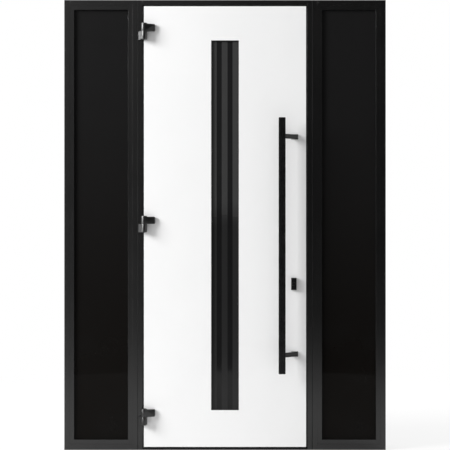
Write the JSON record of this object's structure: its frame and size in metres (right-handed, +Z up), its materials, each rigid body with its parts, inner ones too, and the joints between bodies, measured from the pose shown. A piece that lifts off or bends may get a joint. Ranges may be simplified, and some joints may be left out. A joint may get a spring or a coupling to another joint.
{
  "type": "entrance door with sidelights",
  "caption": "White flush entrance door leaf with a narrow glass strip and a long pull bar, hung between fixed dark-glazed sidelights in a slim black frame.",
  "frame": {"origin": "middle of the door unit's underside, half way through the frame's depth", "axes": "+X to the right seen from outside, +Y into the building, +Z up"},
  "size_m": [1.524, 0.21, 2.134],
  "materials": {
    "frame_black": "satin powder coat",
    "leaf_white": "fine matt powder coat",
    "hardware_black": "satin black",
    "hinge_black": "glossier black than the pull bars",
    "lock_steel": "brushed",
    "glazing_seal": "matt",
    "sidelight_glass": "dark tinted, polished",
    "strip_glass": "dark tinted with lighter upright stripes"
  },
  "bodies": {
    "frame": {"left_outer_stile": "frame_black", "left_inner_stile": "frame_black", "left_head_rail": "frame_black", "left_bottom_rail": "frame_black", "left_bead_outer": "frame_black", "left_bead_inner": "frame_black", "left_bead_top": "frame_black", "left_bead_bottom": "frame_black", "left_glass": "sidelight_glass", "right_outer_stile": "frame_black", "right_inner_stile": "frame_black", "right_head_rail": "frame_black", "right_bottom_rail": "frame_black", "right_bead_outer": "frame_black", "right_bead_inner": "frame_black", "right_bead_top": "frame_black", "right_bead_bottom": "frame_black", "right_glass": "sidelight_glass", "hinge_jamb": "frame_black", "lock_jamb": "frame_black", "door_head": "frame_black", "threshold": "frame_black", "strike_plate": "lock_steel", "hinge_top_frame_part": "hinge_black", "hinge_middle_frame_part": "hinge_black", "hinge_bottom_frame_part": "hinge_black"},
    "door_leaf": {"leaf_outer_panel": "leaf_white", "leaf_core": "leaf_white", "leaf_inner_panel": "leaf_white", "leaf_glass": "strip_glass", "strip_outer_trim": "glazing_seal", "strip_inner_trim": "glazing_seal", "lock_faceplate": "lock_steel", "lock_cylinder": "hardware_black", "hinge_top_leaf_part": "hinge_black", "hinge_middle_leaf_part": "hinge_black", "hinge_bottom_leaf_part": "hinge_black", "outer_pull_bar": "hardware_black", "outer_pull_upper_stand": "hardware_black", "outer_pull_lower_stand": "hardware_black", "outer_escutcheon": "hardware_black", "inner_pull_bar": "hardware_black", "inner_pull_upper_stand": "hardware_black", "inner_pull_lower_stand": "hardware_black", "inner_escutcheon": "hardware_black"}
  },
  "joints": [
    {"name": "door_swing", "type": "hinge", "parent": "frame", "child": "door_leaf", "pos_m": [-0.3825, -0.07, 1.07175], "axis": [0, 0, -1], "range_deg": [0, 110]}
  ]
}
